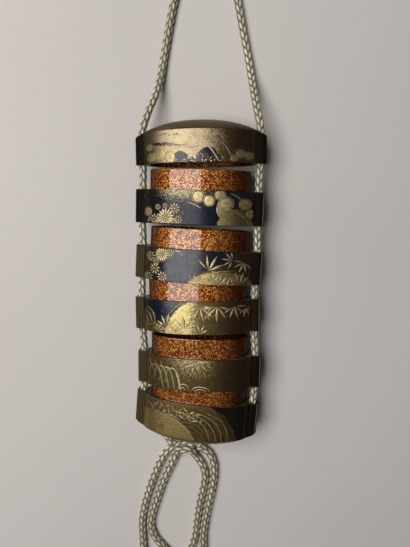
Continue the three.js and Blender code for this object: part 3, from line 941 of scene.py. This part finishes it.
bottom = drawn_up((
    dome_rings(DOME_SHARES[::-1], -1.0, -CASE_LOW)
    + [outer_ring(lambda points: underside(points) + RUBBED * RUBBED_MIDDLE, RUBBED * RUBBED_MIDDLE),
       outer_ring(lambda points: underside(points) + RUBBED)]
    + [outer_ring(up) for up in (-CASE_LOW + 0.001, -CASE_LOW * 0.6, -CASE_LOW * 0.3)]
    + riser_rings()
    + [oval_ring(CAVITY, cavity_floor, share=share) for share in (1.0, 0.9, 0.75, 0.55, 0.35, 0.12)]))
bore_channels(bottom, CHANNEL_BEND_START, OVERRUN)
for side in (-1, 1):
    drill = rod(smooth_line([(side * x, y, z) for x, y, z in CHANNEL_BEND])[::20], CHANNEL_BEND_RADIUS, 6)
    face_outwards(drill, 0.00001)
    cut_away(bottom, drill)
flatten_back(bottom)
lay_finishes(bottom, True, -CASE_LOW)
lay_down(bottom, "case_5", BOTTOM_LIES, -CASE_LOW * 4)

# ---------------------------------------------------------------------------------------------
# The raised gold. Flowers, leaves, cushions of pine, branches and lines of water are built up in
# charcoal and lacquer on the front of each section, dusted with gold powder, and polished.

SUNK = 0.00012
PRESSED_HALF_WIDTH = 23.2
BAND_FOOT, BAND_TOP = -13.95, -0.35
LINE_HEIGHT = 0.42
LAID_GOLD_DARK, LAID_GOLD_PALE = (0.42, 0.31, 0.13, 1), (0.86, 0.72, 0.42, 1)
# The dark golds are painted shade and the flower gold is painted light.
PAINTED_SHADE_GOLD_DARK, PAINTED_SHADE_GOLD_PALE = (0.11, 0.085, 0.035, 1), (0.32, 0.26, 0.13, 1)
FLOWER_PAINTED_LIGHT_GOLD, GRASS_GOLD = (1.0, 0.86, 0.50, 1), (0.86, 0.76, 0.44, 1)
LID_SIDE_PAINTED_SHADE_GOLD, END_PAINTED_SHADE_GOLD = (0.24, 0.165, 0.07, 1), (0.10, 0.068, 0.022, 1)

raised_gold, shader, place = finish("raised_gold", {"Coat Weight": 0.1, "Coat Roughness": 0.2,
                                                    "Specular IOR Level": 0.2})
patch = place.cloud(700.0, 4.0, 0.65).rise(0.3, 0.7)
powder = place.grains(5200.0)[0]
across, along, _ = place.xyz()
# The gold is darkened as painted shade towards the bottom case, at both ends, and on the lid's
# pines at both sides. It is lightened as painted light where the flowers are, and is brighter on
# the grass of the fourth case.
painted_shade_down_stack = (-along).rise(0.012, 0.034) * (1.0 - (-along).rise(0.046, 0.050) * 0.3)
painted_shade_down_stack = painted_shade_down_stack * (1.0 - across.rise(-0.0085, -0.006) * 0.5)
# Painted shade at both ends.
painted_shade_ends = across.rise(0.003, 0.020).most((-across).rise(0.0135, 0.0215))
# Painted light where the flowers are, on the left of the first two cases.
painted_light_flowers = (-across).rise(0.0055, 0.0070) * (1.0 - along.rise(0.047, 0.049)) * along.rise(0.0, 0.002)
grass_place = ((1.0 - abs(across).rise(0.0075, 0.0090)) * (1.0 - along.rise(-0.029, -0.028))
               * along.rise(-0.045, -0.044))
# Painted shade on the lid's pines at both sides.
painted_shade_lid_sides = along.rise(0.050, 0.052) * abs(across).rise(0.0088, 0.0110)
gold = (painted_shade_down_stack * 0.85).blend(patch.blend(LAID_GOLD_DARK, LAID_GOLD_PALE),
                             patch.blend(PAINTED_SHADE_GOLD_DARK, PAINTED_SHADE_GOLD_PALE))
gold = (painted_light_flowers * 0.6).blend(gold, FLOWER_PAINTED_LIGHT_GOLD)
gold = (grass_place * 0.55).blend(gold, GRASS_GOLD)
gold = (painted_shade_lid_sides * 0.45).blend(gold, LID_SIDE_PAINTED_SHADE_GOLD)
give(shader,
     Base_Color=(painted_shade_ends * 0.72).blend(gold, END_PAINTED_SHADE_GOLD),
     Metallic=powder * 0.15 + 0.40,
     Roughness=0.34 + powder * 0.12,
     Normal=powder.bump(0.00003, 0.6))


def shaped(half_length, half_width, height, segments=8, rings=6, pointed=0.0):
    """A rounded button of gold, longer one way, and pointed at its ends where asked."""
    bpy.ops.object.select_all(action="DESELECT")
    bpy.ops.mesh.primitive_uv_sphere_add(segments=segments, ring_count=rings, radius=1.0,
                                         rotation=(0, math.pi / 2, 0))
    button = bpy.context.object
    bpy.ops.object.transform_apply(location=False, rotation=True, scale=False)
    bpy.ops.object.mode_set(mode="EDIT")
    bpy.ops.mesh.select_all(action="SELECT")
    bpy.ops.transform.resize(value=(half_length, half_width, height), center_override=(0, 0, 0))
    bpy.ops.object.mode_set(mode="OBJECT")
    if pointed:
        for corner in button.data.vertices:
            slim = 1 - pointed * abs(corner.co.x / half_length) ** 1.3
            corner.co.y *= slim
            corner.co.z *= 0.4 + 0.6 * slim
    return button


def moved(model, x, y, turn=0.0, size=1.0):
    """A copy of a modelled piece with its own mesh, turned, scaled and set down on the flat."""
    copy = model.copy()
    copy.data = model.data.copy()
    copy.data.transform(Matrix.Translation((x, y, 0)) @ Matrix.Rotation(math.radians(turn), 4, "Z")
                        @ Matrix.Diagonal((size, size, 1.0, 1.0)))
    bpy.context.collection.objects.link(copy)
    return copy


def turned_out(model, reach, turn, size, x=0.0, y=0.0):
    """A copy of a piece that points away from a middle, at that reach and turn from it."""
    return moved(model, x + reach * math.cos(math.radians(turn)),
                 y + reach * math.sin(math.radians(turn)), turn, size)


def ring_of(model, count, reach, size, first=0.0):
    """Copies of a piece set evenly round a middle, each pointing outwards."""
    return [turned_out(model, reach, 360 * (i + first) / count, size) for i in range(count)]


def joined(pieces, name):
    only(pieces[0])
    for piece in pieces:
        piece.select_set(True)
    bpy.ops.object.join()
    bpy.context.object.name = name
    return bpy.context.object


# Modelled once, in millimetres, lying flat: two chrysanthemums, leaves, a cushion of pine, a dot.
petal = shaped(0.66, 0.25, 0.42, 8, 6, 0.35)
flower = joined(ring_of(petal, 15, 1.70, 1.32) + ring_of(petal, 8, 0.78, 0.8, 0.5)
                + [shaped(0.26, 0.26, 0.5, 8, 6)], "flower")
wide_petal = shaped(0.9, 0.36, 0.46, 8, 6, 0.35)
floret = joined(ring_of(wide_petal, 9, 1.6, 1.0) + [shaped(0.5, 0.5, 0.56, 8, 6)], "floret")
leaf = shaped(1.0, 0.2, 0.42, 8, 10, 0.92)
needle = shaped(1.0, 0.1, 0.34, 5, 6, 0.8)
dot = shaped(0.22, 0.18, 0.34, 6, 5)
spray = joined([turned_out(leaf, 1.15, turn, size) for turn, size in (
    (-160, 0.95), (-124, 1.1), (-86, 1.2), (-50, 1.05), (-14, 0.9))], "spray")

# The cushion: a low crowned pad inside a raised outline, with fine needles spread from its middle.
PAD_RADIUS, PAD_HEIGHT = 0.82, 0.08
NEEDLE_FLATTENED, OUTLINE_RAISED = 0.75, 3.6
needles = ring_of(needle, 13, 0.46, 0.34)
for radial in needles:
    radial.data.transform(Matrix.Diagonal((1.0, 1.0, NEEDLE_FLATTENED, 1.0)))
bpy.ops.object.select_all(action="DESELECT")
bpy.ops.mesh.primitive_torus_add(major_radius=0.96, minor_radius=0.045, major_segments=30, minor_segments=6)
cushion_outline = bpy.context.object
cushion_outline.data.transform(Matrix.Diagonal((1.0, 1.0, OUTLINE_RAISED, 1.0)))
bpy.ops.object.select_all(action="DESELECT")
bpy.ops.mesh.primitive_uv_sphere_add(segments=28, ring_count=14, radius=PAD_RADIUS)
pad = bpy.context.object
for corner in pad.data.vertices:
    out = min(math.hypot(corner.co.x, corner.co.y) / PAD_RADIUS, 1.0)
    corner.co.z = math.copysign(PAD_HEIGHT * (1 - out ** 6) ** 0.5, corner.co.z)
cushion = joined([cushion_outline, pad] + needles + [shaped(0.13, 0.13, 0.24, 8, 5)], "cushion")


def line(points, width):
    """A raised line through the points, half round and thinner towards its ends."""
    run = smooth_line([(x, y, 0.0) for x, y in points])[::16]
    radii = [0.25 + 0.75 * math.sin(math.pi * (i + 0.5) / len(run)) ** 0.6 for i in range(len(run))]
    made = rod(run, width / 2, 1, radii)
    face_outwards(made)
    made.data.transform(Matrix.Diagonal((1.0, 1.0, LINE_HEIGHT / width, 1.0)))
    return made


def fan(cx, cy, count, first, last, near, far, size, rib=needle):
    """Thin leaves spread like the ribs of a fan about a point."""
    spread = []
    for i in range(count):
        turn = first + (last - first) * i / (count - 1)
        reach = near + (far - near) * (0.5 + 0.5 * math.sin(i * 2.4))
        spread.append(turned_out(rib, reach, turn, size, cx, cy))
    return spread


def press_on(pieces, node, lies, top, low=BAND_FOOT, high=BAND_TOP):
    """Trims the flat work to a section's height, bends it onto the curved front, and lays it down.

    top is where the section's rim stands in the whole picture, and low and high are from there."""
    work = joined(pieces, "gold_on_" + node)
    bpy.ops.object.mode_set(mode="EDIT")
    for place, away in (((0, top + high, 0), (0, 1, 0)), ((0, top + low, 0), (0, -1, 0)),
                        ((PRESSED_HALF_WIDTH, 0, 0), (1, 0, 0)), ((-PRESSED_HALF_WIDTH, 0, 0), (-1, 0, 0))):
        bpy.ops.mesh.select_all(action="SELECT")
        bpy.ops.mesh.bisect(plane_co=place, plane_no=away, clear_outer=True, use_fill=True)
    bpy.ops.object.mode_set(mode="OBJECT")
    for corner in work.data.vertices:
        across, along, height = corner.co * MM
        share = min(abs(across) / BODY_HALF_WIDTH, 0.98)
        front = BODY_HALF_DEPTH * (1 - share ** OVAL_POWER) ** (1 / OVAL_POWER)
        out_x = math.copysign(share ** (OVAL_POWER - 1) / BODY_HALF_WIDTH, across)
        out_z = (front / BODY_HALF_DEPTH) ** (OVAL_POWER - 1) / BODY_HALF_DEPTH
        proud = max(height, -SUNK) / math.hypot(out_x, out_z)
        corner.co = (across + out_x * proud, along - top * MM, front + out_z * proud)
    work.data.materials.clear()
    work.data.materials.append(raised_gold)
    x, y, turn = lies
    work.location = (x, y, LIE_HEIGHT)
    work.rotation_euler = (0, 0, math.radians(turn))
    bpy.ops.object.transform_apply(location=True, rotation=True, scale=True)
    bpy.ops.object.shade_smooth()
    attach(work, "root")
    return work


# Each of these sets its pieces down by middle, across and up the stack, then turn and size.
# Flowers and cushions turn with their place, so that no two look alike.
FLOWER_RADIUS, LARGE_FLOWER = 2.5, 2.7
FLOWER_TURN, CUSHION_TURN = 37.0, 53.0


def flowers(*places):
    return [moved(flower if size > LARGE_FLOWER else floret, x, y, FLOWER_TURN * x, size / FLOWER_RADIUS)
            for x, y, size in places]


def cushions(*places):
    return [moved(cushion, x, y, CUSHION_TURN * x, size) for x, y, size in places]


def leaves(*places):
    return [moved(leaf, x, y, turn, half) for x, y, turn, half in places]


def sprays(*places):
    return [moved(spray, x, y, turn, size) for x, y, turn, size in places]


def dots(count, x, step, y, sway, beat):
    """A row of dots from x on, that sways up and down round y."""
    return [moved(dot, x + step * i, y + sway * math.sin(i * beat)) for i in range(count)]


# On the lid: pine cushions at both sides, two bare branches with crossed needles above them, a
# streak of cloud, and foam in dots over the water.
press_on(cushions((-19.8, 2.4, 2.2), (-15.9, 3.4, 2.6), (-11.6, 2.3, 2.5), (17.2, 3.3, 2.0),
                  (20.6, 2.6, 1.9), (14.4, 1.4, 1.6), (-20.8, 6.6, 1.6))
         + [line([(4.0, 6.4), (5.8, 4.6), (7.4, 2.2), (8.8, 0.0)], 0.7),
            line([(9.6, 7.8), (11.3, 6.0), (12.8, 3.6), (14.2, 1.0)], 0.55),
            line([(-11.5, 5.2), (-7.0, 6.2), (-2.4, 5.9), (1.0, 6.6)], 0.35)]
         + fan(3.6, 9.0, 11, 10, 170, 0.4, 2.4, 1.4) + fan(9.5, 9.6, 10, -60, 130, 0.6, 2.2, 1.4)
         + fan(-1.6, 10.6, 6, -40, 150, 0.6, 1.8, 1.1)
         + dots(31, -8.6, 0.55, 0.8, 0.5, 2.1) + dots(17, -6.0, 0.75, 1.9, 0.5, 1.7)
         + dots(9, -2.6, 0.8, 3.0, 0.5, 2.7),
         "lid", LID_LIES, LID_SKIRT / MM, -11.15, 1.5)

# On the first case: chrysanthemums low on the left, a pine spreading down from the right.
press_on(flowers((-13.2, -11.6, 3.9), (-9.2, -7.8, 2.5), (-18.3, -12.4, 2.4), (-16.6, -7.4, 1.4),
                 (-7.6, -12.4, 2.0), (-13.4, -6.8, 1.3), (-9.6, -13.6, 1.8), (-16.4, -13.8, 1.6))
         + cushions((0.4, -2.7, 2.6), (4.9, -4.3, 2.4), (9.3, -1.8, 2.4), (12.2, -5.2, 2.9),
                    (19.6, -5.4, 2.6), (22.0, -9.2, 1.9), (-21.4, -9.4, 2.0))
         + leaves((-21.0, -13.0, 70, 2.0), (-5.9, -9.4, 60, 1.3))
         + [line([(-3.8, -5.2), (-1.2, -5.8), (0.8, -6.9), (1.8, -7.4)], 0.5),
            line([(-1.6, -5.8), (-0.8, -7.0)], 0.35),
            line([(8.9, -4.6), (8.3, -7.6), (8.9, -9.6), (10.6, -11.0), (12.2, -12.4), (14.4, -14.4)], 0.95),
            line([(11.4, -7.8), (12.9, -7.6), (17.6, -9.4), (20.4, -12.0), (22.0, -14.6)], 0.5),
            line([(13.4, -1.0), (16.4, -2.4), (18.6, -4.2)], 0.5)],
         "case_1", CASES_LIE[0], 0.0)

# On the second: more flowers by the left runner, and bamboo grass over the edge of a hill.
press_on(flowers((-15.0, -17.2, 3.2), (-20.2, -18.4, 2.4), (-18.0, -23.4, 2.6), (-14.4, -26.6, 2.5),
                 (-21.0, -27.4, 2.4), (-11.2, -16.2, 2.0), (-17.4, -20.4, 1.6))
         + [line([(-9.4, -15.4), (-7.2, -15.4), (-5.8, -17.2)], 0.5),
            line([(-4.4, -28.8), (-1.4, -26.8), (2.0, -24.8), (6.2, -23.4), (11.0, -22.6),
                  (16.0, -22.2)], 0.5)]
         + sprays((5.4, -22.6, 150, 3.1), (14.4, -24.6, 20, 2.7), (15.0, -17.8, -100, 2.0),
                  (20.0, -18.6, -30, 2.2), (-1.4, -28.0, 120, 1.9), (7.4, -27.2, 170, 2.1),
                  (11.0, -28.2, 150, 2.0), (18.6, -27.8, 200, 2.4), (1.6, -27.4, 160, 1.4)),
         "case_2", CASES_LIE[1], -14.3)

# On the third: bamboo hanging into the plain, and grass along the foot of the bright mound.
press_on(sprays((2.2, -30.4, 8, 3.0), (9.4, -30.2, -6, 3.1), (16.6, -30.6, 12, 2.5), (4.8, -33.4, 60, 1.7),
                (-12.4, -39.8, 165, 2.6), (-4.4, -40.6, 185, 3.0), (-16.4, -42.0, 150, 1.6),
                (-8.4, -42.6, 175, 2.1), (2.2, -42.4, 190, 2.1), (21.4, -31.8, 20, 1.7))
         + [line([(-13.6, -37.8), (-11.4, -34.4), (-8.4, -31.2), (-5.4, -28.8)], 0.35),
            line([(-21.6, -31.8), (-19.2, -33.2), (-17.8, -36.4), (-18.0, -39.0)], 0.5),
            line([(-21.8, -33.8), (-20.2, -35.2), (-19.4, -38.0)], 0.5),
            line([(-22.4, -36.0), (-21.4, -37.4), (-21.2, -39.4)], 0.5),
            line([(-22.6, -41.0), (-18.6, -38.9), (-13.8, -40.4), (-10.4, -42.6)], 0.4)],
         "case_3", CASES_LIE[2], -28.6)

# On the fourth: bending reeds on the left, a burst of grass at the top, small rocks in water below.
press_on([line([(-21.9 + 2.7 * i, -52.8 - 0.4 * i), (-20.8 + 2.7 * i, -48.0 - 0.2 * i),
                (-18.2 + 2.7 * i, -46.9 - 0.2 * i), (-16.2 + 2.7 * i, -50.4 - 0.3 * i),
                (-14.9 + 2.6 * i, -56.6)], 1.5) for i in range(4)]
         + [line([(-21.6 + 2.7 * i, -44.2), (-20.8 + 2.7 * i, -47.0), (-19.4 + 2.7 * i, -49.4)], 0.5)
            for i in range(3)]
         + [line([(-8.4, -56.8), (-7.4, -54.8), (-5.6, -54.0), (-4.0, -54.8), (-3.4, -56.8)], 0.5),
            line([(-7.2, -56.9), (-6.0, -55.4), (-4.8, -56.9)], 0.4),
            line([(-2.2, -56.8), (-1.0, -55.4), (2.0, -54.9), (4.8, -55.6), (5.8, -56.8)], 0.5),
            line([(-1.0, -56.8), (1.6, -55.9), (4.2, -56.8)], 0.4)]
         + fan(-0.6, -42.6, 15, 190, 350, 2.4, 5.0, 1.9, leaf)
         + fan(-0.6, -42.6, 9, 206, 334, 5.4, 7.6, 1.2, leaf),
         "case_4", CASES_LIE[3], -42.9)

# On the bottom case: broken rock and leaves above a mound, and water running down past it.
tangle = [(-19.8 + 0.85 * i, -60.4 - 1.9 * math.sin(i * 1.9) - 0.08 * i,
           83.0 * i % 180, 1.8 + 0.4 * math.sin(i * 2.7)) for i in range(28)]
press_on(leaves(*tangle)
         + [line([(-21.8, -59.4), (-18.4, -62.4), (-14.8, -63.6), (-10.2, -63.2), (-6.0, -64.8)], 0.6),
            line([(-13.4, -64.8), (-9.6, -64.6), (-5.6, -66.4), (-2.4, -69.0), (0.0, -72.2),
                  (1.0, -74.4)], 0.6),
            line([(-8.6, -60.8), (-4.4, -61.4), (-1.0, -63.0), (1.6, -64.8)], 0.5)]
         + [line([(-3.2 + 3.0 * i, -61.8 + 0.5 * i), (2.0 + 2.9 * i, -64.0 + 0.5 * i),
                  (5.9 + 2.8 * i, -68.2 + 0.3 * i), (8.0 + 2.6 * i, -74.4)], 0.42) for i in range(4)]
         + dots(7, -19.0, 1.3, -65.4, -1.2, 2.3),
         "case_5", BOTTOM_LIES, -57.2, -15.8)

for model in (petal, wide_petal, flower, floret, leaf, needle, dot, cushion, spray):
    bpy.data.objects.remove(model, do_unlink=True)
